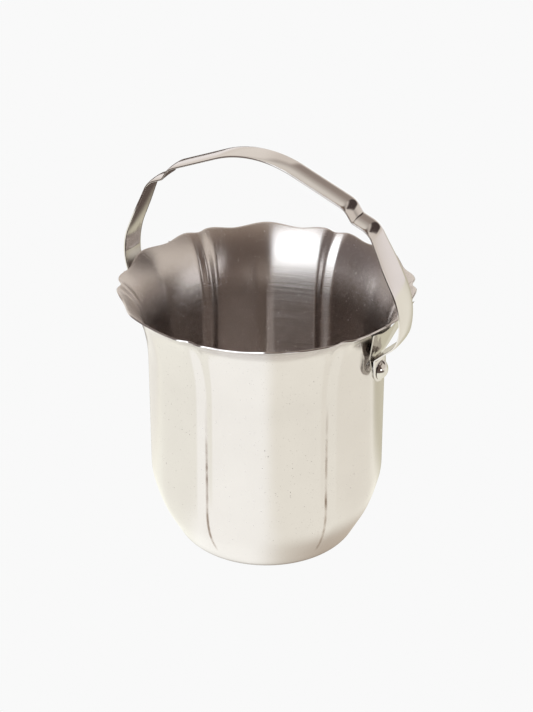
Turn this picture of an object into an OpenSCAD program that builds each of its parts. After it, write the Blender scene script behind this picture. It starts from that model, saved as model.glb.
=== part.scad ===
// Candle melting pot: a six-lobed, flared sheet-metal pail with a swinging strap handle.
// The pot stands on its base at the origin, +Z up. The handle turns about the X axis line
// that runs through both rivets. All sizes are in millimetres.

/* [Pot] */
// Height of the rim peaks above the base
pot_h = 130.4; // [125:0.1:140]
// Radius of the rim at its peaks
rim_r = 70; // [68.5:0.1:72]
// Radius of the wall over its ridges
wall_r = 56.2; // [55:0.1:56.5]
// Sheet thickness of the pot
pot_t = 0.8; // [0.6:0.1:1.2]
// Number of lobes round the pot
lobes = 6; // [6:2:8]
// How flat the two facets of each lobe are, from round to straight
facet = 0.7; // [0:0.1:1]
// Depth of the groove between two lobes
groove_d = 1.7; // [0.5:0.1:2.5]

/* [Pot base] */
// Radius of the corner round the flat base
corner_r = 10; // [6:0.5:14]
// Length of the slanted wall above that corner
slant_l = 13; // [8:0.5:16]
// Angle of the slanted wall from vertical
slant_a = 30; // [24:1:34]
// Radius of the bend from slanted to upright wall
belly_r = 45; // [30:1:50]

/* [Pot flare] */
// Angle from vertical where the gentle part of the flare ends
flare_a = 19; // [16:1:22]
// Angle from vertical at the rim
lip_a = 54; // [48:1:58]
// Radius of the tight part of the flare
lip_r = 28; // [24:0.5:32]
// Depth of the hollow beside each rim peak
dip_d = 2.2; // [0:0.1:3]
// Depth of the small shoulder beside each rim notch
shoulder_d = 0.5; // [0:0.1:1]
// Depth of the rim notch between two lobes
notch_d = 1.2; // [0:0.1:2]

/* [Handle] */
// Width of the strap at its ends and along its crown
strap_w = 11.4; // [9:0.2:12]
// How far each edge of the strap stands out beside the widest part of a leg
leg_swell = 1.6; // [0:0.1:2]
// Thickness of the strap
strap_t = 1.2; // [0.8:0.1:1.4]
// Distance of the tab's outer face from the middle of the pot
tab_x = 60.2; // [60.1:0.1:61]
// Height of the rivets above the base
pivot_z = 101.5; // [100:0.5:102]
// How far the handle leans forward at rest
lean = 4.3; // [-10:0.1:10]

/* [Rivets and washers] */
// Radius of the rivet shank
shank_r = 2; // [1.5:0.1:2.5]
// Radius of the rivet head
head_r = 4.65; // [3.5:0.05:5]
// Height of the domed rivet head
head_h = 2.9; // [1.5:0.1:3.5]
// Radius of the spacer washer between tab and lug
washer_r = 4.3; // [3.5:0.1:4.6]
// Thickness of the spacer washer
washer_t = 0.6; // [0.4:0.1:0.7]
// Radius of the washer that the rivet's tail is closed over
burr_r = 3.5; // [3:0.1:3.6]
// Thickness of the tail washer
burr_t = 0.5; // [0.3:0.1:0.5]

/* [Lugs] */
// Angle that the lug's plate leans outwards by, above its lower end
lug_lean = 19.5; // [19:0.5:20]
// Sheet thickness of the lug
lug_t = 0.5; // [0.4:0.1:0.5]
// Half the width of the lug's front plate
lug_w = 8.4; // [7:0.1:9.5]
// Angle that the lug's side wings are folded forwards by
wing_a = 4; // [2:1:5]
// Radius of the lug's round lower end
lug_end_r = 5; // [4.6:0.1:5.5]
// Radius of the solder bead that holds the lug
bead_r = 0.7; // [0.6:0.05:0.8]

/* [Hidden] */

// Lobe geometry: half a lobe, the middle of a facet, and how far a ridge or groove spreads
half_a = 180 / lobes;
facet_mid = half_a / 2;
ridge_soft = 5;
groove_half = 4.6;
dip_a = half_a * 14 / 30;
shoulder_a = half_a * 24 / 30;
trim_h = 16;
lobe_steps = [-1, -0.9, -0.8, -0.633, -0.467, -0.333, -0.167, 0, 0.167, 0.333, 0.467, 0.633, 0.8, 0.9];
angles = [for (i = [0 : lobes - 1]) for (f = lobe_steps) (2 * i + f) * half_a];

// Profile sizes that follow from the driving ones
base_r = wall_r - belly_r * (1 - cos(slant_a)) - slant_l * sin(slant_a) - corner_r * cos(slant_a);
belly_z = corner_r * (1 - sin(slant_a)) + slant_l * cos(slant_a) + belly_r * sin(slant_a);
flare_r = (rim_r - wall_r - lip_r * (cos(flare_a) - cos(lip_a))) / (1 - cos(flare_a));
flare_z = pot_h - flare_r * sin(flare_a) - lip_r * (sin(lip_a) - sin(flare_a));

// Fit sizes
running_gap = 0.06;
static_gap = 0.02;
face_gap = 0.1;
$fn = 64;

// Planes across the pivot axis, from the rivet head inwards
tab_in = tab_x - strap_t;
spacer_x = tab_in - face_gap;
lug_x = spacer_x - washer_t;
burr_x = lug_x - lug_t;
tail_x = burr_x - burr_t;
tail_h = 0.25;
tail_r = 2.6;

// Strap path above the pivot as [straight length, turn angle, bend radius], bottom to top.
// A positive turn bends the strap towards the middle of the pot.
strap_steps = [
    [6.4, -47.5, 1.8],   // tab, then the fold outwards
    [9.8, 37.5, 15.5],   // slanted foot that curls up
    [0, 35, 40],         // bulge beside the rim
    [23.6, 42.5, 9.8],   // straight leg and lower shoulder
    [4.4, -35.5, 2.2],   // short flat and the inward crease
    [3.1, 35, 9]         // short flat and the upper shoulder
];
crown_r = 50.7;
// Heights where a leg starts to widen, is widest, starts to narrow and is narrow again
swell_z = [108, 148, 154, 172];
leg_z_step = 4;

// Lug path from below the pivot upwards, in the same form, and how its V outline widens
lug_steps = [
    [lug_end_r + 7.2, -lug_lean, 3],
    [1, 0, 1]
];
lug_columns = [-2, -1.5, -1, -0.5, 0, 0.5, 1, 1.5, 2];
lug_neck_h = 4.5;
lug_spread = 0.9;
lug_top_h = 21;
flare_clear = 0.45;

// ---- Functions ----

function clamp01(v) = max(0, min(1, v));
function ease(v) = (1 - cos(180 * clamp01(v))) / 2;

// Angle from the nearest lobe's middle, 0 to half_a
function lobe_angle(th) = abs((th + half_a + 360) % (2 * half_a) - half_a);

// Radius of the fluted section that has ridge radius r
function section(th, r, k, d) =
    let (t = lobe_angle(th),
         ts = sqrt(t * t + ridge_soft * ridge_soft),
         flat = cos(facet_mid) / cos(ts - facet_mid),
         into_groove = 1 - (half_a - t) / groove_half)
    r * (1 - k * (1 - flat)) - d * ease(into_groove);

// How far the rim is cut back from its peaks
function rim_trim(th) =
    let (t = lobe_angle(th))
    t < dip_a ? dip_d * ease(t / dip_a) :
    t < shoulder_a ? dip_d + (shoulder_d - dip_d) * ease((t - dip_a) / (shoulder_a - dip_a)) :
    shoulder_d + (notch_d - shoulder_d) * ease((t - shoulder_a) / (half_a - shoulder_a));

// Flutes fade in from the base, and the facets round off again towards the rim
function facet_at(z) = facet * ease(z / 30) * (1 - 0.6 * ease((z - flare_z) / (pot_h - flare_z)));
function groove_at(z) = groove_d * ease((z - 8) / 40);

// Outer profile of the pot as [radius, height, angle of the wall from vertical]
function profile() = concat(
    [for (a = [90, 70, 50, slant_a])
        [base_r + corner_r * cos(a), corner_r * (1 - sin(a)), a]],
    [for (f = [1, 0.75, 0.5, 0.25, 0])
        let (a = f * slant_a) [wall_r - belly_r * (1 - cos(a)), belly_z - belly_r * sin(a), a]],
    [for (f = [0.2, 0.55, 1]) [wall_r, belly_z + f * (flare_z - belly_z), 0]],
    [for (f = [0.25, 0.5, 0.75, 1])
        let (a = f * flare_a) [wall_r + flare_r * (1 - cos(a)), flare_z + flare_r * sin(a), a]],
    [for (f = [0.2, 0.4, 0.6, 0.8, 1])
        let (a = flare_a + f * (lip_a - flare_a))
        [rim_r - lip_r * (cos(a) - cos(lip_a)), pot_h - lip_r * (sin(lip_a) - sin(a)), a]]);

// One point of the shell, at a depth below the outer surface
function shell_point(p, th, depth) =
    let (cut = rim_trim(th) * clamp01((p[1] - pot_h + trim_h) / trim_h),
         r = section(th, p[0] - depth * cos(p[2]), facet_at(p[1]), groove_at(p[1])) - cut * sin(p[2]),
         z = p[1] + depth * sin(p[2]) - cut * cos(p[2]))
    [r * cos(th), r * sin(th), z];

function ring(p, depth) = [for (th = angles) shell_point(p, th, depth)];
function reversed(list) = [for (i = [len(list) - 1 : -1 : 0]) list[i]];

// Walks a strip's middle line: each small step is a half turn, a move and a half turn
function small_steps(steps) = [
    for (s = steps)
        let (n = max(1, ceil(abs(s[1]) / 5)), turn = s[1] / n)
        each concat([[s[0], 0]], [for (i = [1 : n]) [2 * s[2] * sin(abs(turn) / 2), turn]])];
function advance(p, s) =
    let (h = p[2] + s[1] / 2) [p[0] + s[0] * cos(h), p[1] + s[0] * sin(h), p[2] + s[1]];
function walk(start, steps) = [
    for (i = 0, p = start; i <= len(steps); p = i < len(steps) ? advance(p, steps[i]) : p, i = i + 1) p];
function side(path, off) = [for (p = path) [p[0] + off * sin(p[2]), p[1] - off * cos(p[2])]];
function mirrored(points) = [for (p = points) [-p[0], p[1]]];

// Middle line of half the strap, from the pivot to the crown over the pot's middle
function strap_path() =
    let (low = walk([tab_x - strap_t / 2, pivot_z, 90], small_steps(strap_steps)),
         end = low[len(low) - 1],
         rise = 180 - end[2],
         run = (end[0] - crown_r * sin(rise)) / cos(rise))
    concat(low, walk(advance(end, [run, 0]), small_steps([[0, rise, crown_r]])));

// Half the strap's width at height z on a leg
function ease(f) = let (c = clamp01(f)) c * c * (3 - 2 * c);
function strap_half_w(z) =
    strap_w / 2 + leg_swell * (ease((z - swell_z[0]) / (swell_z[1] - swell_z[0]))
                               - ease((z - swell_z[2]) / (swell_z[3] - swell_z[2])));
leg_heights = concat([pivot_z], [for (z = [swell_z[0] : leg_z_step : swell_z[3]]) z], [2 * pot_h]);

// Height of the pot's outer profile at radius r on the flare
function flare_height(r) =
    r < wall_r + flare_r * (1 - cos(flare_a)) ?
        flare_z + flare_r * sin(acos(1 - max(0, r - wall_r) / flare_r)) :
        pot_h - lip_r * (sin(lip_a) - sin(acos((rim_r - r) / lip_r + cos(lip_a))));

// Middle line of the lug from below the pivot to where its plate is straight
function lug_path() = walk([burr_x + lug_t / 2, pivot_z - lug_end_r, 90], small_steps(lug_steps));

// Half widths of the lug's edge and of its crease, and how its wings fold back
function lug_edge(h) = lug_end_r + lug_spread * max(0, h - lug_neck_h);
function lug_crease(h) = lug_end_r - 0.8 + (lug_w - lug_end_r + 0.8) * clamp01((h - lug_neck_h) / 16);
function lug_y(c, h) = sign(c) * (abs(c) <= 1 ? abs(c) * lug_crease(h)
                                  : lug_crease(h) + (abs(c) - 1) * (lug_edge(h) - lug_crease(h)));
function lug_fold(c, h) = abs(c) <= 1 ? 0 : -tan(wing_a) * (abs(lug_y(c, h)) - lug_crease(h));

// One point of the lug's bent part, and one of the edge that meets the flare
function lug_low(c, q) = let (h = q[1] - pivot_z) [q[0] - lug_fold(c, h), lug_y(c, h), q[1]];
function lug_top(c, q, tries = 10) =
    let (y = lug_y(c, lug_top_h), xf = q[0] - lug_fold(c, lug_top_h),
         z = flare_height(norm([xf, y])) - flare_clear)
    tries == 0 ? [xf, y, z] : lug_top(c, [q[0] + (z - q[1]) * tan(lug_lean), z], tries - 1);

// Rows of points on one face of the lug, at a distance from its middle line
function lug_face(off) =
    let (path = side(lug_path(), off), last = path[len(path) - 1], m = len(path))
    concat([for (q = path) [for (c = lug_columns) lug_low(c, q)]],
           [for (f = [0.5, 1])
               [for (c = lug_columns) let (a = lug_low(c, last), b = lug_top(c, last)) a + f * (b - a)]]);

// ---- Shared shapes ----

// Closed skin from rings of points, with a middle point at each end
module ring_skin(rings, first, last) {
    n = len(angles);
    m = len(rings);
    points = concat([first], [for (r = rings) each r], [last]);
    faces = concat(
        [for (i = [0 : n - 1]) [0, 1 + i, 1 + (i + 1) % n]],
        [for (j = [0 : m - 2]) for (i = [0 : n - 1])
            let (a = 1 + j * n + i, b = 1 + j * n + (i + 1) % n)
            each [[a, a + n, b], [b, a + n, b + n]]],
        [for (i = [0 : n - 1]) [1 + m * n, 1 + (m - 1) * n + (i + 1) % n, 1 + (m - 1) * n + i]]);
    polyhedron(points = points, faces = faces);
}

// Sheet metal strip of a given thickness and width, whose path lies in the XZ plane
module strip(path, t, w) {
    rotate([90, 0, 0])
        linear_extrude(height = w, center = true)
            polygon(concat(side(path, t / 2), reversed(side(path, -t / 2))));
}

// Round bar along +X on the pivot axis, from x0 to x1
module on_axis(x0, x1, r) {
    translate([x0, 0, pivot_z])
        rotate([0, 90, 0])
            cylinder(r = r, h = x1 - x0);
}

module ring_washer(x1, t, r) {
    difference() {
        on_axis(x1 - t, x1, r);
        on_axis(x1 - t - 1, x1 + 1, shank_r + static_gap);
    }
}

// ---- Right-hand pieces ----

module lug() {
    difference() {
        intersection() {
            lug_sheet();
            union() {
                on_axis(burr_x - 1, rim_r, lug_end_r);
                translate([0, -rim_r, pivot_z])
                    cube([rim_r, 2 * rim_r, rim_r]);
            }
        }
        on_axis(burr_x - 1, lug_x + 1, shank_r + static_gap);
    }
}

// Folded sheet of the lug: rows run up its middle line, columns run across it
module lug_sheet() {
    outer = lug_face(lug_t / 2);
    inner = lug_face(-lug_t / 2);
    m = len(outer);
    n = len(lug_columns);
    border = concat([for (i = [0 : n - 1]) i], [for (j = [1 : m - 1]) j * n + n - 1],
                    [for (i = [n - 2 : -1 : 0]) (m - 1) * n + i], [for (j = [m - 2 : -1 : 1]) j * n]);
    faces = concat(
        [for (j = [0 : m - 2]) for (i = [0 : n - 2])
            let (a = j * n + i) each [[a, a + n, a + 1], [a + 1, a + n, a + n + 1]]],
        [for (j = [0 : m - 2]) for (i = [0 : n - 2])
            let (a = m * n + j * n + i) each [[a, a + 1, a + n], [a + 1, a + n + 1, a + n]]],
        [for (i = [0 : len(border) - 1])
            let (a = border[i], b = border[(i + 1) % len(border)])
            each [[a, b, a + m * n], [b, b + m * n, a + m * n]]]);
    polyhedron(points = concat([for (r = outer) each r], [for (r = inner) each r]), faces = faces);
}

// Bead of solder along the line where the lug's plate meets the flare
module solder() {
    bead_z = pivot_z + 18.1;
    bead_at = 61.2;
    spread = asin(lug_w / bead_at);
    rotate([0, 0, -spread])
        rotate_extrude(angle = 2 * spread, $fn = 96)
            translate([bead_at, bead_z])
                circle(r = bead_r, $fn = 16);
}

module rivet() {
    dome_r = (head_r * head_r + head_h * head_h) / (2 * head_h);
    dome_a = asin(head_r / dome_r);
    shank_l = tab_x + face_gap - tail_x;
    dome = [for (i = [0 : 12])
        let (a = dome_a * (1 - i / 12)) [dome_r * sin(a), dome_r * cos(a) - dome_r + head_h]];
    translate([tab_x + face_gap, 0, pivot_z])
        rotate([0, 90, 0])
            rotate_extrude()
                polygon(concat([[0, -shank_l - tail_h], [tail_r - 0.3, -shank_l - tail_h],
                                [tail_r, -shank_l], [shank_r, -shank_l], [shank_r, 0]], dome));
}

module spacer() {
    ring_washer(spacer_x, washer_t, washer_r);
}

module tail_washer() {
    ring_washer(burr_x, burr_t, burr_r);
}

// Space that one half of the strap may fill: round below the pivot, wider beside the leg
module strap_limits() {
    on_axis(0, rim_r, strap_w / 2);
    rotate([90, 0, 90])
        linear_extrude(height = 2 * rim_r)
            polygon(concat([for (z = leg_heights) [strap_half_w(z), z]],
                           [for (z = reversed(leg_heights)) [-strap_half_w(z), z]]));
}

// ---- Nodes ----

module pot_shell() {
    outer = [for (p = profile()) ring(p, 0)];
    inner = [for (p = profile()) ring(p, pot_t)];
    color("silver")
        ring_skin(concat(outer, reversed(inner)), [0, 0, 0], [0, 0, pot_t]);
}

module handle_strap() {
    path = strap_path();
    tail = [[path[0][0], pivot_z - strap_w / 2, 90]];
    right = concat(tail, path);
    outline = concat(side(right, strap_t / 2), reversed(mirrored(side(right, strap_t / 2))),
                     mirrored(side(right, -strap_t / 2)), reversed(side(right, -strap_t / 2)));
    color("gainsboro")
        translate([0, 0, pivot_z])
            rotate([lean, 0, 0])
                translate([0, 0, -pivot_z])
                    difference() {
                        intersection() {
                            rotate([90, 0, 0])
                                linear_extrude(height = 2 * strap_w, center = true)
                                    polygon(outline);
                            union() {
                                strap_limits();
                                mirror([1, 0, 0]) strap_limits();
                            }
                        }
                        on_axis(-tab_x - 5, tab_x + 5, shank_r + running_gap);
                    }
}

module lug_right() { color("darkgray") lug(); }
module lug_left() { color("darkgray") mirror([1, 0, 0]) lug(); }
module solder_right() { color("gray") solder(); }
module solder_left() { color("gray") mirror([1, 0, 0]) solder(); }
module rivet_right() { color("lightgray") rivet(); }
module rivet_left() { color("lightgray") mirror([1, 0, 0]) rivet(); }
module spacer_right() { color("dimgray") spacer(); }
module spacer_left() { color("dimgray") mirror([1, 0, 0]) spacer(); }
module tail_washer_right() { color("slategray") tail_washer(); }
module tail_washer_left() { color("slategray") mirror([1, 0, 0]) tail_washer(); }

pot_shell();
lug_right();
lug_left();
solder_right();
solder_left();
rivet_right();
rivet_left();
spacer_right();
spacer_left();
tail_washer_right();
tail_washer_left();
handle_strap();
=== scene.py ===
"""Looks of a six-lobed polished pail with a swinging strap handle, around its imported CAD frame."""

import math

import bmesh
import bpy
import numpy as np
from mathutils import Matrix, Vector


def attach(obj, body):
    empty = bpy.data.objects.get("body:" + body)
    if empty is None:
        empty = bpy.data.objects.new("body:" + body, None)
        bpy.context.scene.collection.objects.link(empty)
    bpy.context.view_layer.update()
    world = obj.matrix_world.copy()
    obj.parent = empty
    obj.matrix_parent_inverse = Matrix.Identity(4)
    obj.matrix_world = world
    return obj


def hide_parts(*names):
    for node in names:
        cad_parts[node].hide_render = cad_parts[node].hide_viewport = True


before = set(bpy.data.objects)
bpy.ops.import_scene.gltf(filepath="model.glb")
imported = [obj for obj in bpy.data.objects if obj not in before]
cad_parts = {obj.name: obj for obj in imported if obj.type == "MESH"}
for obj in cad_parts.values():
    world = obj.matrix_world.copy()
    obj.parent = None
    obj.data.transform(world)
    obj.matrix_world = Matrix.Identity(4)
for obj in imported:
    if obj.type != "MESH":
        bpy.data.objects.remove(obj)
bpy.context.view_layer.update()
MM = 0.001

# ---- Sizes in millimetres and angles in degrees, the same as those that drive the CAD part ----

# Pot: height, radii of the rim's peaks and of the wall's ridges, sheet thickness
POT_H = 130.4
RIM_R = 70.0
WALL_R = 56.2
POT_T = 0.8

# Flutes: how flat the facets are and how deep the grooves, and where both fade in above the base
FACET = 0.7
FACET_FADE_H = 30.0
FACET_LOSS = 0.6
GROOVE_D = 1.7
GROOVE_FOOT_H = 8.0
GROOVE_FADE_H = 40.0
HALF_A = 30.0
FACET_MID = 15.0
RIDGE_SOFT = 5.0
GROOVE_HALF = 4.6

# Profile from the base up: corner, slanted wall, belly, gentle flare and tight lip
CORNER_R = 10.0
SLANT_L = 13.0
SLANT_A = 30.0
BELLY_R = 45.0
FLARE_A = 19.0
LIP_A = 54.0
LIP_R = 28.0

# How far the rim is cut back beside a peak, on the shoulder and in the notch, and where
DIP_D = 2.2
SHOULDER_D = 0.5
NOTCH_D = 1.2
DIP_A = 14.0
SHOULDER_A = 24.0
TRIM_H = 16.0
LIP_ROUND = 0.35

# Strap: width, thickness, tab's outer face, pivot, lean at rest and radius of the crown
STRAP_W = 11.4
STRAP_T = 1.2
TAB_X = 60.2
PIVOT_Z = 101.5
LEAN = 4.3
CROWN_R = 50.7

# Straight length, turn angle and bend radius of each stretch, from the pivot upwards
STRAP_STEPS = [
    (6.4, -47.5, 1.8),
    (9.8, 37.5, 15.5),
    (0, 35, 40),
    (23.6, 42.5, 9.8),
    (4.4, -35.5, 2.2),
    (3.1, 35, 9),
]

# How far each edge stands out beside a leg, and the heights where that starts, is full and ends
SWELL = 1.6
SWELL_Z = (108, 148, 154, 172)

# Section of the strap: drop of its crowned face, width of each shoulder, hollow of its back, and
# its rounded edges as (in from the side, back from the face) for the front and for the back
FACE_DROP = 0.22
FACE_EDGE = 1.2
BACK_HOLLOW = 0.22
FRONT_EDGE = [(0, 0.60), (0.07, 0.46), (0.22, 0.38)]
BACK_EDGE = [(0.05, 0.16), (0.3, 0.03)]

# Rivets and washers
SHANK_R = 2.0
HEAD_R = 4.65
HEAD_H = 2.9
WASHER_R = 4.3
WASHER_T = 0.6
WASHER_EDGE = 0.08
BURR_R = 3.5
BURR_T = 0.5

# Closed tail of the rivet as (height above the tail washer, radius)
TAIL = [(0.25, 0), (0.25, 2.1), (0.17, 2.35), (0.02, 2.55), (0, 2.4)]

# Lugs: sheet, half width of the plate, round lower end, how the V widens above its neck, height
# that gives the top its width, fold of the wings, lean of the plate, and its bend and straight
# stretch above the round end in the same form as the strap's
LUG_T = 0.5
LUG_W = 8.4
LUG_END_R = 5.0
LUG_SPREAD = 0.9
LUG_NECK_H = 4.5
LUG_WIDEN_H = 16.0
CREASE_IN = 0.8
LUG_TOP_H = 21
WING_A = 4.0
LUG_LEAN = 19.5
LUG_BEND = (7.2, -LUG_LEAN, 3.0)
LUG_STRAIGHT = (1.0, 0, 1.0)

# Solder bead: radius, height of its middle and distance from the pot's middle
BEAD_R = 0.7
BEAD_Z = PIVOT_Z + 18.1
BEAD_AT = 61.2

# Gaps of the fits
RUNNING_GAP = 0.06
STATIC_GAP = 0.02
FACE_GAP = 0.1
FLARE_CLEAR = 0.45


# ---- Small maths ----

def rad(a):
    return math.radians(a)


def sin(a):
    return math.sin(rad(a))


def cos(a):
    return math.cos(rad(a))


def clamp01(v):
    return max(0.0, min(1.0, v))


def ease(v):
    """0 below 0, 1 above 1 and a smooth rise between."""
    c = clamp01(v)
    return c * c * (3 - 2 * c)


# ---- Pot shape ----

BASE_R = WALL_R - BELLY_R * (1 - cos(SLANT_A)) - SLANT_L * sin(SLANT_A) - CORNER_R * cos(SLANT_A)
BELLY_Z = CORNER_R * (1 - sin(SLANT_A)) + SLANT_L * cos(SLANT_A) + BELLY_R * sin(SLANT_A)
FLARE_R = (RIM_R - WALL_R - LIP_R * (cos(FLARE_A) - cos(LIP_A))) / (1 - cos(FLARE_A))
FLARE_Z = POT_H - FLARE_R * sin(FLARE_A) - LIP_R * (sin(LIP_A) - sin(FLARE_A))


def lobe_angle(th):
    """Angle from the middle of the nearest lobe."""
    return abs((th + HALF_A) % (2 * HALF_A) - HALF_A)


def section(th, r, facet, groove):
    """Radius of the fluted section whose ridges are at radius r."""
    t = lobe_angle(th)
    soft = math.hypot(t, RIDGE_SOFT)
    flat = cos(FACET_MID) / cos(soft - FACET_MID)
    return r * (1 - facet * (1 - flat)) - groove * ease(1 - (HALF_A - t) / GROOVE_HALF)


def rim_trim(th):
    """How far the rim is cut back from its peaks."""
    t = lobe_angle(th)
    if t < DIP_A:
        return DIP_D * ease(t / DIP_A)
    if t < SHOULDER_A:
        return DIP_D + (SHOULDER_D - DIP_D) * ease((t - DIP_A) / (SHOULDER_A - DIP_A))
    return SHOULDER_D + (NOTCH_D - SHOULDER_D) * ease((t - SHOULDER_A) / (HALF_A - SHOULDER_A))


def facet_at(z):
    """How flat the facets are at height z: they fade in from the base and out again on the flare."""
    fade_out = FACET_LOSS * ease((z - FLARE_Z) / (POT_H - FLARE_Z))
    return FACET * ease(z / FACET_FADE_H) * (1 - fade_out)


def groove_at(z):
    """Depth of the grooves at height z."""
    return GROOVE_D * ease((z - GROOVE_FOOT_H) / GROOVE_FADE_H)


def pot_profile():
    """Outer profile as (radius, height, angle of the wall from vertical), from base to rim."""
    rows = []
    for a in np.linspace(90, SLANT_A, 13):
        rows.append((BASE_R + CORNER_R * cos(a), CORNER_R * (1 - sin(a)), a))
    for a in np.linspace(SLANT_A, 0, 13):
        rows.append((WALL_R - BELLY_R * (1 - cos(a)), BELLY_Z - BELLY_R * sin(a), a))
    for f in np.linspace(0, 1, 13)[1:]:
        rows.append((WALL_R, BELLY_Z + f * (FLARE_Z - BELLY_Z), 0.0))
    for a in np.linspace(0, FLARE_A, 9)[1:]:
        rows.append((WALL_R + FLARE_R * (1 - cos(a)), FLARE_Z + FLARE_R * sin(a), a))
    for a in np.linspace(FLARE_A, LIP_A, 19)[1:]:
        r = RIM_R - LIP_R * (cos(a) - cos(LIP_A))
        rows.append((r, POT_H - LIP_R * (sin(LIP_A) - sin(a)), a))
    return rows


def shell_point(row, th, depth, over=0.0):
    """A point of the sheet at a depth below its outer face, and a distance over past the rim."""
    r0, z0, a = row
    cut = rim_trim(th) * clamp01((z0 - POT_H + TRIM_H) / TRIM_H) - over
    r = section(th, r0 - depth * cos(a), facet_at(z0), groove_at(z0)) - cut * sin(a)
    z = z0 + depth * sin(a) - cut * cos(a)
    return (r * cos(th), r * sin(th), z)


def flare_height(r):
    """Height of the pot's outer profile at radius r on the flare."""
    if r < WALL_R + FLARE_R * (1 - cos(FLARE_A)):
        a = math.degrees(math.acos(1 - max(0, r - WALL_R) / FLARE_R))
        return FLARE_Z + FLARE_R * sin(a)
    a = math.degrees(math.acos((RIM_R - r) / LIP_R + cos(LIP_A)))
    return POT_H - LIP_R * (sin(LIP_A) - sin(a))


# ---- Mesh building ----

POT_TURNS = 240
LATHE_TURNS = 64
BORE_STEPS = 48


def link_object(name, data):
    """A new object in the scene."""
    obj = bpy.data.objects.new(name, data)
    bpy.context.scene.collection.objects.link(obj)
    return obj


def clean_mesh(name, verts, faces):
    """A mesh in metres from millimetre points, with meeting points joined and faces turned out."""
    mesh = bpy.data.meshes.new(name)
    mesh.from_pydata([tuple(c * MM for c in v) for v in verts], [], faces)
    mesh.validate()
    bm = bmesh.new()
    bm.from_mesh(mesh)
    bmesh.ops.remove_doubles(bm, verts=bm.verts, dist=1e-7)
    bmesh.ops.recalc_face_normals(bm, faces=bm.faces)
    bm.to_mesh(mesh)
    bm.free()
    return mesh


def make_piece(name, body, verts, faces, sharp):
    """A smooth shaded piece riding on a body, with edges sharp above an angle."""
    mesh = clean_mesh(name, verts, faces)
    mesh.polygons.foreach_set("use_smooth", [True] * len(mesh.polygons))
    mesh.set_sharp_from_angle(angle=rad(sharp))
    obj = link_object(name, mesh)
    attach(obj, body)
    return obj


def grid_faces(rows, cols, close_cols=False, start=0):
    """Quads of a grid of points listed row by row."""
    faces = []
    last = cols if close_cols else cols - 1
    for j in range(rows - 1):
        for i in range(last):
            k = (i + 1) % cols
            a = start + j * cols
            faces.append((a + i, a + k, a + cols + k, a + cols + i))
    return faces


def cut_bore(obj, x0, x1, r):
    """Cuts a round hole along the pivot axis with a boolean, and applies it."""
    verts, faces = lathe_points([(x0, 0), (x0, r), (x1, r), (x1, 0)], BORE_STEPS)
    cutter = link_object("cutter", clean_mesh("cutter", verts, faces))
    mod = obj.modifiers.new("bore", "BOOLEAN")
    mod.operation = "DIFFERENCE"
    mod.solver = "EXACT"
    mod.object = cutter
    bpy.context.view_layer.update()
    evaluated = obj.evaluated_get(bpy.context.evaluated_depsgraph_get())
    done = bpy.data.meshes.new_from_object(evaluated)
    obj.modifiers.clear()
    obj.data = done
    bpy.data.objects.remove(cutter)


def lathe_points(outline, steps):
    """Points and faces of an outline of (along, radius) turned about the pivot axis."""
    verts = []
    for x, r in outline:
        for i in range(steps):
            a = 360 * i / steps
            verts.append((x, r * cos(a), PIVOT_Z + r * sin(a)))
    return verts, grid_faces(len(outline), steps, close_cols=True)


def flip_x(verts, side):
    """The points as they are for side 1, and mirrored to the other side for -1."""
    return [(side * x, y, z) for x, y, z in verts]


# ---- Pot shell ----

def shell_rings():
    """Rings of points up the outer face, over the rounded rim and down the inner face."""
    angles = [360 * i / POT_TURNS for i in range(POT_TURNS)]
    rows = pot_profile()
    rings = [[shell_point(row, th, 0) for th in angles] for row in rows]
    half = POT_T / 2
    for a in (30, 60, 90, 120, 150):
        depth = half * (1 - cos(a))
        over = LIP_ROUND * half * sin(a)
        rings.append([shell_point(rows[-1], th, depth, over) for th in angles])
    rings += [[shell_point(row, th, POT_T) for th in angles] for row in reversed(rows)]
    return rings


def build_shell():
    """The pot as one closed sheet, with a fan of faces for each side of its flat bottom."""
    rings = shell_rings()
    verts = [p for ring in rings for p in ring]
    faces = grid_faces(len(rings), POT_TURNS, close_cols=True)
    n = len(verts)
    verts += [(0, 0, 0), (0, 0, POT_T)]
    end = (len(rings) - 1) * POT_TURNS
    for i in range(POT_TURNS):
        k = (i + 1) % POT_TURNS
        faces.append((n, k, i))
        faces.append((n + 1, end + i, end + k))
    return make_piece("pot_skin", "pot", verts, faces, sharp=60)


# ---- Strap handle ----

def path_points(start, steps, fine):
    """Walks a bent strip's middle line, returning (x, z, heading) at every small step."""
    x, z, h = start
    out = [(x, z, h)]
    for length, turn, bend in steps:
        if length > 0:
            pieces = max(1, int(length / 4))
            for _ in range(pieces):
                x += length / pieces * cos(h)
                z += length / pieces * sin(h)
                out.append((x, z, h))
        pieces = max(1, math.ceil(abs(turn) / fine))
        for _ in range(pieces):
            step = turn / pieces
            chord = 2 * bend * sin(abs(step) / 2)
            x += chord * cos(h + step / 2)
            z += chord * sin(h + step / 2)
            h += step
            out.append((x, z, h))
    return out


def strap_half():
    """Middle line of the right half of the strap, from the pivot to the top of the crown."""
    low = path_points((TAB_X - STRAP_T / 2, PIVOT_Z, 90), STRAP_STEPS, 4)
    x, z, h = low[-1]
    rise = 180 - h
    run = (x - CROWN_R * sin(rise)) / cos(rise)
    return low + path_points((x, z, h), [(run, rise, CROWN_R)], 1.5)[1:]


def leg_swell(z):
    """How far each edge of the strap stands out beside a leg at height z."""
    z0, z1, z2, z3 = SWELL_Z
    return SWELL * (ease((z - z0) / (z1 - z0)) - ease((z - z2) / (z3 - z2)))


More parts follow.
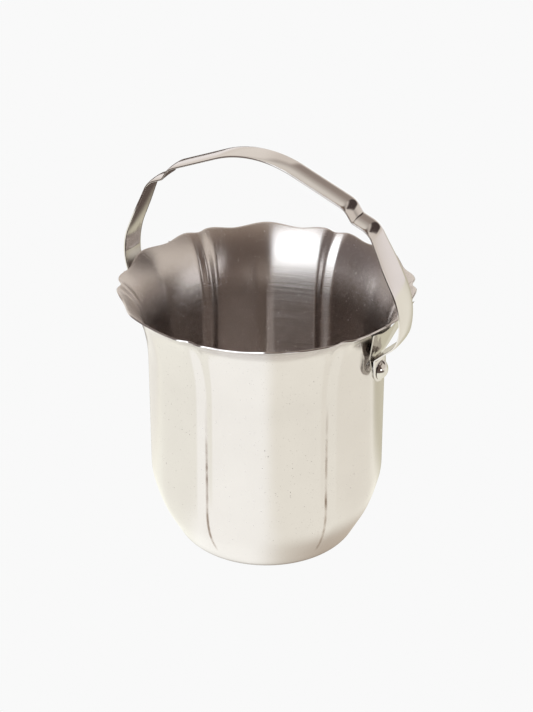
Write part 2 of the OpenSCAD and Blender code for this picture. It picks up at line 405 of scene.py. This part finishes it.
def strap_section():
    """Section as (across, out) of a strap of even width: crowned face, round edges, hollow back."""
    w = STRAP_W / 2
    t = STRAP_T / 2
    edge = [(-w + into, t - down) for into, down in FRONT_EDGE]
    face = [(f * (w - FACE_EDGE), t - FACE_DROP * f * f) for f in (i / 5 for i in range(-5, 6))]
    outer = edge + face + [(-y, o) for y, o in reversed(edge)]
    back_edge = [(w - into, -t + up) for into, up in BACK_EDGE]
    back = [(w * f, -t + BACK_HOLLOW * (1 - f * f))
            for f in (0.85, 0.65, 0.4, 0.2, 0, -0.2, -0.4, -0.65, -0.85)]
    return outer + back_edge + back + [(-y, o) for y, o in reversed(back_edge)]


def lean_point(p):
    """Turns a point about the pivot axis by the handle's forward lean at rest."""
    x, y, z = p
    dz = z - PIVOT_Z
    return (x, y * cos(LEAN) - dz * sin(LEAN), PIVOT_Z + y * sin(LEAN) + dz * cos(LEAN))


def strap_stations():
    """Places along the whole strap as (x, z, heading, share of the even width)."""
    half = strap_half()
    w = STRAP_W / 2
    stations = []
    for a in (88, 80, 70, 60, 50, 40, 30, 20, 10):
        stations.append((half[0][0], PIVOT_Z - w * sin(a), 90, cos(a)))
    stations += [(x, z, h, 1.0 + leg_swell(z) / w) for x, z, h in half]
    left = [(-x, z, 360 - h, s) for x, z, h, s in stations[:-1]]
    return stations + left[::-1]


def build_strap():
    """The strap as one closed skin, with a bore in each tab for its rivet."""
    stations = strap_stations()
    sec = strap_section()
    verts = []
    for x, z, h, s in stations:
        for y, o in sec:
            verts.append(lean_point((x + o * sin(h), y * s, z - o * cos(h))))
    n = len(sec)
    faces = grid_faces(len(stations), n, close_cols=True)
    faces.append(tuple(range(n)))
    faces.append(tuple((len(stations) - 1) * n + i for i in reversed(range(n))))
    obj = make_piece("strap", "handle", verts, faces, sharp=38)
    for tab in (TAB_X, -TAB_X):
        cut_bore(obj, tab - 4, tab + 4, SHANK_R + RUNNING_GAP)
    return obj


# ---- Lugs, rivets, washers, solder ----

# Planes across the pivot axis, from the tab inwards
TAB_IN = TAB_X - STRAP_T
SPACER_X = TAB_IN - FACE_GAP
LUG_X = SPACER_X - WASHER_T
BURR_X = LUG_X - LUG_T
TAIL_X = BURR_X - BURR_T


def lug_edge(h):
    """Half width of the lug at height h above the pivot."""
    if h < 0:
        return math.sqrt(max(0.0, LUG_END_R ** 2 - h * h))
    return LUG_END_R + LUG_SPREAD * max(0.0, h - LUG_NECK_H)


def lug_crease(h):
    """Half width of the lug's plate, where its wings begin, at height h above the pivot."""
    neck = LUG_END_R - CREASE_IN
    if h < 0:
        return neck / LUG_END_R * lug_edge(h)
    return neck + (LUG_W - neck) * clamp01((h - LUG_NECK_H) / LUG_WIDEN_H)


def lug_across(c, h):
    """Distance of column c at height h from the middle, and how far behind the plate it lies.

    Columns from -1 to 1 lie on the plate and those out to 2 either way on the wings, which fold
    forwards, so that theirs is negative.
    """
    y = abs(c) * lug_crease(h)
    back = 0.0
    if abs(c) > 1:
        y = lug_crease(h) + (abs(c) - 1) * (lug_edge(h) - lug_crease(h))
        back = -math.tan(rad(WING_A)) * (y - lug_crease(h))
    return math.copysign(y, c), back


def lug_top(c, end, off):
    """Point where column c of the leaning plate comes up to the flare, less a small clearance."""
    x0, z0, h = end
    x0 += off * sin(h)
    z0 -= off * cos(h)
    y, back = lug_across(c, LUG_TOP_H)
    x, z = x0 - back, z0
    for _ in range(12):
        z = flare_height(math.hypot(x, y)) - FLARE_CLEAR
        x = x0 - back + (z - z0) * math.tan(rad(LUG_LEAN))
    return (x, y, z)


LUG_COLUMNS = [0, 0.3, 0.6, 0.92, 1, 1.08, 1.3, 1.6, 1.9, 2]
LUG_COLUMNS = [-c for c in LUG_COLUMNS[:0:-1]] + LUG_COLUMNS


def lug_face(off):
    """Rows of points on one face of the lug, at a distance from its middle line."""
    x0 = BURR_X + LUG_T / 2
    low = [(x0, PIVOT_Z - LUG_END_R * sin(a), 90) for a in (86, 75, 62, 48, 34, 20, 8)]
    walk = path_points((x0, PIVOT_Z, 90), [LUG_BEND, LUG_STRAIGHT], 4)
    rows = []
    for x, z, h in low + walk:
        across = [lug_across(c, z - PIVOT_Z) for c in LUG_COLUMNS]
        rows.append([(x + off * sin(h) - back, y, z - off * cos(h)) for y, back in across])
    last = rows[-1]
    tops = [lug_top(c, walk[-1], off) for c in LUG_COLUMNS]
    for f in (0.2, 0.4, 0.6, 0.8, 1.0):
        rows.append([tuple(a + f * (b - a) for a, b in zip(p, top)) for p, top in zip(last, tops)])
    return rows


def border_loop(rows, cols):
    """Point numbers round the border of a grid, in order."""
    loop = list(range(cols)) + [j * cols + cols - 1 for j in range(1, rows)]
    loop += [(rows - 1) * cols + i for i in range(cols - 2, -1, -1)]
    loop += [j * cols for j in range(rows - 2, 0, -1)]
    return loop


def build_lug(side, name):
    """The lug as two faces joined round their border, with a bore for the rivet."""
    outer = lug_face(LUG_T / 2)
    inner = lug_face(-LUG_T / 2)
    m, n = len(outer), len(LUG_COLUMNS)
    verts = [p for row in outer + inner for p in row]
    faces = grid_faces(m, n) + grid_faces(m, n, start=m * n)
    border = border_loop(m, n)
    for a, b in zip(border, border[1:] + border[:1]):
        faces.append((a, b, b + m * n, a + m * n))
    obj = make_piece(name, "pot", flip_x(verts, side), faces, sharp=35)
    x0, x1 = sorted((side * (BURR_X - 2), side * (LUG_X + 2)))
    cut_bore(obj, x0, x1, SHANK_R + STATIC_GAP)
    return obj


def build_rivet(side, name):
    """The rivet's closed tail, shank and domed head in one turned outline."""
    dome_r = (HEAD_R ** 2 + HEAD_H ** 2) / (2 * HEAD_H)
    dome_a = math.degrees(math.asin(HEAD_R / dome_r))
    back = TAB_X + FACE_GAP
    outline = [(TAIL_X - up, r) for up, r in TAIL]
    outline += [(TAIL_X, SHANK_R), (back, SHANK_R)]
    outline += [(back, HEAD_R - 0.12), (back + 0.05, HEAD_R - 0.02)]
    for i in range(17):
        a = (dome_a - 1.5) * (1 - i / 16)
        outline.append((back + dome_r * cos(a) - dome_r + HEAD_H, dome_r * sin(a)))
    verts, faces = lathe_points(outline, LATHE_TURNS)
    return make_piece(name, "pot", flip_x(verts, side), faces, sharp=50)


def build_washer(side, name, x1, t, r):
    """A ring on the rivet's shank, with its outer face at x1."""
    inner = SHANK_R + STATIC_GAP
    e = WASHER_EDGE
    x0 = x1 - t
    outline = [(x0, inner), (x0, r - e), (x0 + e, r), (x1 - e, r), (x1, r - e), (x1, inner)]
    verts, faces = lathe_points(outline + outline[:1], LATHE_TURNS)
    return make_piece(name, "pot", flip_x(verts, side), faces, sharp=40)


def build_bead(side, name):
    """Solder bead along the top of the lug's plate, slightly uneven and round at both ends."""
    spread = math.degrees(math.asin(LUG_W / BEAD_AT))
    rows, round_steps = 25, 14
    verts = []
    for j in range(rows):
        f = -1 + 2 * j / (rows - 1)
        th = spread * f
        r = BEAD_R * math.sqrt(max(0.02, 1 - abs(f) ** 8)) * (1 + 0.05 * math.sin(9 * f + 1))
        for i in range(round_steps):
            a = 360 * i / round_steps
            rr = BEAD_AT + r * cos(a)
            verts.append((rr * cos(th), rr * sin(th), BEAD_Z + r * sin(a)))
    faces = grid_faces(rows, round_steps, close_cols=True)
    faces.append(tuple(range(round_steps)))
    faces.append(tuple((rows - 1) * round_steps + i for i in reversed(range(round_steps))))
    return make_piece(name, "pot", flip_x(verts, side), faces, sharp=60)


# ---- Materials ----

def new_material(name):
    """A new material, its node tree and its shader."""
    mat = bpy.data.materials.new(name)
    mat.use_nodes = True
    tree = mat.node_tree
    return mat, tree, tree.nodes["Principled BSDF"]


def stretched_noise(tree, stretch, scale, detail):
    """Noise in object space, drawn out along the axes whose stretch is small."""
    coords = tree.nodes.new("ShaderNodeTexCoord")
    mapping = tree.nodes.new("ShaderNodeMapping")
    mapping.inputs["Scale"].default_value = stretch
    noise = tree.nodes.new("ShaderNodeTexNoise")
    noise.inputs["Scale"].default_value = scale
    noise.inputs["Detail"].default_value = detail
    tree.links.new(coords.outputs["Object"], mapping.inputs["Vector"])
    tree.links.new(mapping.outputs["Vector"], noise.inputs["Vector"])
    return noise.outputs["Fac"]


def map_range(tree, value, low, high, to_low, to_high):
    """A value carried in a straight line from one range to another."""
    node = tree.nodes.new("ShaderNodeMapRange")
    node.inputs["From Min"].default_value = low
    node.inputs["From Max"].default_value = high
    node.inputs["To Min"].default_value = to_low
    node.inputs["To Max"].default_value = to_high
    tree.links.new(value, node.inputs["Value"])
    return node.outputs["Result"]


def ramp(tree, value, stops):
    """Colour that follows a value through stops of (place, colour)."""
    node = tree.nodes.new("ShaderNodeValToRGB")
    while len(node.color_ramp.elements) < len(stops):
        node.color_ramp.elements.new(0.5)
    for element, (place, colour) in zip(node.color_ramp.elements, stops):
        element.position = place
        element.color = (*colour, 1)
    tree.links.new(value, node.inputs["Fac"])
    return node.outputs["Color"]


def add_bump(tree, height, strength):
    """A normal tilted by a height that is read in tenths of a millimetre."""
    node = tree.nodes.new("ShaderNodeBump")
    node.inputs["Strength"].default_value = strength
    node.inputs["Distance"].default_value = 0.1 * MM
    tree.links.new(height, node.inputs["Height"])
    return node.outputs["Normal"]


def math_node(tree, operation, a, b):
    """One step of arithmetic on two numbers or sockets."""
    node = tree.nodes.new("ShaderNodeMath")
    node.operation = operation
    for socket, value in zip(node.inputs, (a, b)):
        if isinstance(value, (int, float)):
            socket.default_value = value
        else:
            tree.links.new(value, socket)
    return node.outputs[0]


def vector_math(tree, operation, vector, other=None):
    """One step of vector arithmetic, the second vector being a tuple, a socket or nothing."""
    node = tree.nodes.new("ShaderNodeVectorMath")
    node.operation = operation
    tree.links.new(vector, node.inputs[0])
    if isinstance(other, tuple):
        node.inputs[1].default_value = other
    elif other is not None:
        tree.links.new(other, node.inputs[1])
    return node.outputs["Value" if operation in ("DOT_PRODUCT", "LENGTH") else "Vector"]


def smooth_step(tree, value, low, high):
    """0 below low and 1 above high, or the other way round when low is the larger."""
    node = tree.nodes.new("ShaderNodeMapRange")
    node.interpolation_type = "SMOOTHSTEP"
    node.inputs["From Min"].default_value = low
    node.inputs["From Max"].default_value = high
    tree.links.new(value, node.inputs["Value"])
    return node.outputs["Result"]


def mix_colour(tree, fac, a, b):
    """Colour a where fac is 0 and b where it is 1, each a tuple or a socket."""
    node = tree.nodes.new("ShaderNodeMix")
    node.data_type = "RGBA"
    tree.links.new(fac, node.inputs["Factor"])
    for socket, value in ((node.inputs[6], a), (node.inputs[7], b)):
        if isinstance(value, tuple):
            socket.default_value = (*value, 1)
        else:
            tree.links.new(value, socket)
    return node.outputs[2]


def mix_value(tree, fac, a, b):
    """a where fac is 0 and b where it is 1, each a number or a socket."""
    node = tree.nodes.new("ShaderNodeMix")
    tree.links.new(fac, node.inputs["Factor"])
    for socket, value in ((node.inputs[2], a), (node.inputs[3], b)):
        if isinstance(value, (int, float)):
            socket.default_value = value
        else:
            tree.links.new(value, socket)
    return node.outputs[0]


def level_direction(tree, vector):
    """The vector's unit direction over the ground."""
    return vector_math(tree, "NORMALIZE", vector_math(tree, "MULTIPLY", vector, (1, 1, 0)))


def steel(name, dark, light, rough, line_stretch, line_bump):
    """Polished steel: cloudy tint, uneven gloss and fine drawn lines."""
    mat, tree, shader = new_material(name)
    cloud = stretched_noise(tree, (1, 1, 1), 60, 3)
    lines = stretched_noise(tree, line_stretch, 1, 4)
    gloss = map_range(tree, lines, 0.3, 0.7, *rough)
    tree.links.new(ramp(tree, cloud, [(0.3, dark), (0.7, light)]), shader.inputs["Base Color"])
    tree.links.new(gloss, shader.inputs["Roughness"])
    shader.inputs["Metallic"].default_value = 1.0
    tree.links.new(add_bump(tree, lines, line_bump), shader.inputs["Normal"])
    return mat


def crease_shade_line(tree, axes, place, outward):
    """Painted shade: a patchy dark line down the outside of each groove, strongest near the foot."""
    height = axes.outputs["Z"]
    turn = math_node(tree, "ARCTAN2", axes.outputs["Y"], axes.outputs["X"])
    turned = math_node(tree, "SUBTRACT", turn, rad(HALF_A))
    from_crease = math_node(tree, "PINGPONG", turned, rad(HALF_A))
    radius = vector_math(tree, "LENGTH", vector_math(tree, "MULTIPLY", place, (1, 1, 0)))
    off_crease = math_node(tree, "MULTIPLY", from_crease, radius)
    patchy = stretched_noise(tree, (60, 60, 90), 1, 2)
    parts = [
        smooth_step(tree, height, 0.096, 0.060),
        smooth_step(tree, height, 0.009, 0.014),
        map_range(tree, patchy, 0.38, 0.62, 0.15, 0.75),
        smooth_step(tree, outward, -0.02, 0.02),
    ]
    crease_shade = smooth_step(tree, off_crease, 0.0011, 0.0001)
    for part in parts:
        crease_shade = math_node(tree, "MULTIPLY", crease_shade, part)
    return crease_shade


def pot_colour(tree, inside, crease_shade):
    """Cloudy steel tint, warmer inside, with brown painted shade down the outside of each groove."""
    cloud = stretched_noise(tree, (1, 1, 1), 60, 3)
    cool = ramp(tree, cloud, [(0.3, (0.66, 0.63, 0.63)), (0.7, (0.68, 0.65, 0.65))])
    warm = ramp(tree, cloud, [(0.3, (0.66, 0.62, 0.60)), (0.7, (0.69, 0.65, 0.63))])
    # Brown colour of the painted shade along the grooves
    return mix_colour(tree, crease_shade, mix_colour(tree, inside, cool, warm), (0.27, 0.18, 0.12))


def pot_gloss(tree, inside, lip, crease_shade, lines):
    """Roughness: mirror outside, finely brushed inside, satin lip, dull on specks and on painted
    crease shade.
    """
    specks = smooth_step(tree, stretched_noise(tree, (1, 1, 1), 1500, 1), 0.73, 0.77)
    brushed = map_range(tree, lines, 0.3, 0.7, 0.17, 0.25)
    gloss = mix_value(tree, inside, 0.11, brushed)
    gloss = mix_value(tree, lip, gloss, 0.27)
    return mix_value(tree, math_node(tree, "MAXIMUM", specks, crease_shade), gloss, 0.55)


def pot_steel():
    """Steel polished round the pot, with reflections drawn out along its height."""
    mat, tree, shader = new_material("pot_steel")
    coords = tree.nodes.new("ShaderNodeTexCoord")
    place = coords.outputs["Object"]
    axes = tree.nodes.new("ShaderNodeSeparateXYZ")
    tree.links.new(place, axes.inputs[0])
    away = level_direction(tree, place)
    outward = vector_math(tree, "DOT_PRODUCT", coords.outputs["Normal"], away)
    inside = smooth_step(tree, outward, 0.02, -0.02)
    flare = smooth_step(tree, axes.outputs["Z"], 0.110, 0.122)
    lip = math_node(tree, "MULTIPLY", flare, inside)
    # Painted shade: a dark brown line down the outside of each groove
    crease_shade = crease_shade_line(tree, axes, place, outward)
    lines = stretched_noise(tree, (22, 22, 2600), 1, 3)
    tree.links.new(pot_colour(tree, inside, crease_shade), shader.inputs["Base Color"])
    tree.links.new(pot_gloss(tree, inside, lip, crease_shade, lines), shader.inputs["Roughness"])
    tree.links.new(add_bump(tree, lines, 0.01), shader.inputs["Normal"])
    shader.inputs["Metallic"].default_value = 1.0
    tangent = tree.nodes.new("ShaderNodeTangent")
    tangent.direction_type = "RADIAL"
    tangent.axis = "Z"
    tree.links.new(tangent.outputs[0], shader.inputs["Tangent"])
    shader.inputs["Anisotropic"].default_value = 0.97
    shader.inputs["Anisotropic Rotation"].default_value = 0.25
    return mat


# Dark and light tint, least and greatest roughness, stretch of the drawn lines and their depth
STEELS = {
    "handle_steel": ((0.66, 0.63, 0.62), (0.69, 0.66, 0.65), (0.07, 0.13), (300, 2500, 300), 0.03),
    "lug_steel": ((0.63, 0.61, 0.58), (0.67, 0.65, 0.62), (0.06, 0.14), (600, 1500, 200), 0.05),
    "rivet_steel": ((0.66, 0.64, 0.62), (0.70, 0.68, 0.66), (0.04, 0.10), (900, 900, 900), 0.05),
    "washer_steel": ((0.50, 0.48, 0.45), (0.58, 0.55, 0.51), (0.25, 0.4), (900, 900, 900), 0.1),
    "solder_metal": ((0.52, 0.50, 0.48), (0.60, 0.58, 0.55), (0.3, 0.5), (900, 900, 900), 0.2),
}
MATERIALS = {name: steel(name, *look) for name, look in STEELS.items()}
MATERIALS["pot_steel"] = pot_steel()


def dress(obj, slot):
    """Gives a piece its material."""
    obj.data.materials.clear()
    obj.data.materials.append(MATERIALS[slot])


# ---- The pieces ----

shell = build_shell()
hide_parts("pot_shell")
dress(shell, "pot_steel")

strap = build_strap()
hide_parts("handle_strap")
dress(strap, "handle_steel")

for side, word in ((1, "right"), (-1, "left")):
    lug = build_lug(side, f"lug_sheet_{word}")
    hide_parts(f"lug_{word}")
    dress(lug, "lug_steel")
    rivet = build_rivet(side, f"rivet_dome_{word}")
    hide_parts(f"rivet_{word}")
    dress(rivet, "rivet_steel")
    washer = build_washer(side, f"spacer_ring_{word}", SPACER_X, WASHER_T, WASHER_R)
    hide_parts(f"spacer_{word}")
    dress(washer, "washer_steel")
    burr = build_washer(side, f"tail_ring_{word}", BURR_X, BURR_T, BURR_R)
    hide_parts(f"tail_washer_{word}")
    dress(burr, "washer_steel")
    bead = build_bead(side, f"solder_bead_{word}")
    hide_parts(f"solder_{word}")
    dress(bead, "solder_metal")


# ---- Floor, light and camera ----

# Camera: direction and elevation it looks from, distance, how far to the side and how high the
# point is that it looks at, and its focal length as a share of the picture's longer side
CAM_AZ = 30.07
CAM_EL = 27.85
CAM_DIST = 0.9
AIM_SIDE = -0.00006
AIM_Z = 0.0926
SENSOR = 36.0
LENS_SHARE = 1911.0 / 712.0

# Grey of the plain paper that the camera sees
PAPER = 0.947

# Light of the bare room, and its cards and lamps: compass direction and half width in degrees,
# lowest and highest elevation, softness of the edge and light. Later ones cover earlier ones.
ROOM = (0.13, 0.095, 0.08)
CARDS = [
    ("ceiling", 0, 180, 55, 90, 8, (0.34, 0.26, 0.21)),
    ("left wall", -150, 38, -90, 52, 8, (0.21, 0.18, 0.18)),
    ("left wall foot", -150, 36, -90, 12, 5, (0.46, 0.41, 0.41)),
    ("left ceiling card", -150, 34, 62, 80, 6, (0.90, 0.84, 0.83)),
    ("paper sweep", 84, 92, -90, 44, 6, (0.86, 0.79, 0.71)),
    ("sweep top", 108, 44, 46, 90, 5, (0.90, 0.85, 0.77)),
    ("sweep left half", 140, 24, 14, 46, 7, (0.98, 0.92, 0.84)),
    ("dim corner", 168, 18, 28, 56, 6, (0.30, 0.23, 0.18)),
    ("sweep foot", 75, 85, -90, 6, 5, (1.05, 1.00, 0.97)),
    ("shade on the sweep", 88, 9, 27, 43, 3, (0.38, 0.32, 0.28)),
    ("gap in the cards", 65, 15, 15, 39, 2, (0.08, 0.06, 0.055)),
    ("under the soft box", -91, 23, -4, 18, 6, (1.12, 1.14, 1.12)),
    ("soft box", -91, 20, 15, 62, 7, (3.2, 3.4, 3.55)),
    ("small lamp", -20, 5, 2, 13, 3, (4.0, 4.0, 4.0)),
]

# Light from the floor paper round the pot, as compass direction, half width, softness and colour
PAPER_LIT = (1.13, 1.11, 0.98)
PAPER_PARTS = [
    ("lit by the soft box", -92, 34, 14, (1.30, 1.31, 1.23)),
    ("left", -150, 26, 12, (1.18, 1.18, 1.06)),
    ("right", 30, 22, 16, (1.06, 1.03, 0.90)),
    ("behind on the right", 92, 32, 10, (0.68, 0.64, 0.50)),
    ("behind on the left", 150, 22, 10, (1.02, 1.00, 0.92)),
]

# Painted shadows and shade in the floor's light, seen only in reflections: radius where each starts
# and where it is full, then as above
FLOOR_SHADES = [
    ("pot's own shade", 0.068, 0.043, 15, 55, 35, (0.62, 0.54, 0.44)),
    ("under the pot", 0.0445, 0.0365, 0, 180, 0, (0.16, 0.11, 0.08)),
    ("dark corner behind", 0.180, 0.205, 120, 26, 6, (0.13, 0.10, 0.085)),
    ("beyond the paper in front", 0.27, 0.36, -85, 95, 10, (0.16, 0.125, 0.11)),
]
FLOOR_HALF = 3.0
FLOOR_DROP = 0.0002


def emission(tree, colour):
    """A shader that gives off a colour, from a tuple or a socket."""
    node = tree.nodes.new("ShaderNodeEmission")
    if isinstance(colour, tuple):
        node.inputs["Color"].default_value = (*colour, 1)
    else:
        tree.links.new(colour, node.inputs["Color"])
    return node.outputs[0]


def paper_or_light(tree, light, out):
    """The camera sees plain paper, and reflections see the light."""
    path = tree.nodes.new("ShaderNodeLightPath")
    mix = tree.nodes.new("ShaderNodeMixShader")
    tree.links.new(path.outputs["Is Camera Ray"], mix.inputs["Fac"])
    tree.links.new(emission(tree, light), mix.inputs[1])
    tree.links.new(emission(tree, (PAPER, PAPER, PAPER)), mix.inputs[2])
    tree.links.new(mix.outputs[0], out)


def both(tree, a, b):
    """Product of two masks, either of which may be None for one that is 1 everywhere."""
    if a is None or b is None:
        return b if a is None else a
    return math_node(tree, "MULTIPLY", a, b)


def sector(tree, flat, azimuth, half, soft):
    """1 inside a sector of compass directions, where flat is the level unit direction.

    None stands for the full circle.
    """
    if half >= 180:
        return None
    near = vector_math(tree, "DOT_PRODUCT", flat, (cos(azimuth), sin(azimuth), 0))
    return smooth_step(tree, near, cos(min(180, half + soft)), cos(max(0, half - soft)))


def build_world():
    """A dim room round the object, with pale paper, cards and a tall soft box at the front left."""
    world = bpy.data.worlds.new("studio")
    bpy.context.scene.world = world
    world.use_nodes = True
    tree = world.node_tree
    tree.nodes.clear()
    out = tree.nodes.new("ShaderNodeOutputWorld")
    direction = tree.nodes.new("ShaderNodeTexCoord").outputs["Generated"]
    flat = level_direction(tree, direction)
    up = vector_math(tree, "DOT_PRODUCT", direction, (0, 0, 1))
    light = ROOM
    for _, azimuth, half, low, high, soft, colour in CARDS:
        mask = sector(tree, flat, azimuth, half, soft)
        if low > -90:
            mask = both(tree, mask, smooth_step(tree, up, sin(low - soft), sin(low + soft)))
        if high < 90:
            mask = both(tree, mask, smooth_step(tree, up, sin(high + soft), sin(high - soft)))
        light = mix_colour(tree, mask, light, colour)
    paper_or_light(tree, light, out.inputs["Surface"])


def floor_light(tree):
    """Light that reflections of the floor show, uneven, with painted shadows in places."""
    place = tree.nodes.new("ShaderNodeTexCoord").outputs["Object"]
    flat = level_direction(tree, place)
    radius = vector_math(tree, "LENGTH", place)
    light = PAPER_LIT
    for _, azimuth, half, soft, colour in PAPER_PARTS:
        light = mix_colour(tree, sector(tree, flat, azimuth, half, soft), light, colour)
    # Painted shade: the pot's shadow beside and under it, a dark corner behind and dark floor beyond
    # the paper
    for _, start, full, azimuth, half, soft, colour in FLOOR_SHADES:
        ring = smooth_step(tree, radius, start, full)
        mask = both(tree, ring, sector(tree, flat, azimuth, half, soft))
        light = mix_colour(tree, mask, light, colour)
    return light


def build_floor():
    """Pale paper under the pot, plain to the camera, glowing in reflections with the floor's light
    and painted shade.
    """
    mesh = bpy.data.meshes.new("floor")
    s = FLOOR_HALF
    mesh.from_pydata([(-s, -s, 0), (s, -s, 0), (s, s, 0), (-s, s, 0)], [], [(0, 1, 2, 3)])
    obj = link_object("floor", mesh)
    obj.location.z = -FLOOR_DROP
    mat = bpy.data.materials.new("floor_paper")
    mat.use_nodes = True
    tree = mat.node_tree
    tree.nodes.clear()
    out = tree.nodes.new("ShaderNodeOutputMaterial")
    paper_or_light(tree, floor_light(tree), out.inputs["Surface"])
    mesh.materials.append(mat)


def build_camera():
    """The camera at the photo's angle."""
    data = bpy.data.cameras.new("camera")
    cam = link_object("camera", data)
    data.sensor_width = SENSOR
    data.lens = LENS_SHARE * SENSOR
    data.clip_start = 0.01
    data.clip_end = 50
    back = Vector((sin(CAM_AZ) * cos(CAM_EL), -cos(CAM_AZ) * cos(CAM_EL), sin(CAM_EL)))
    target = Vector((AIM_SIDE * cos(CAM_AZ), AIM_SIDE * sin(CAM_AZ), AIM_Z))
    cam.location = target + back * CAM_DIST
    cam.rotation_mode = "QUATERNION"
    cam.rotation_quaternion = (-back).to_track_quat("-Z", "Y")
    bpy.context.scene.camera = cam


build_world()
build_floor()
build_camera()

scene = bpy.context.scene
scene.view_settings.view_transform = "Standard"
scene.cycles.max_bounces = 24
scene.cycles.glossy_bounces = 20
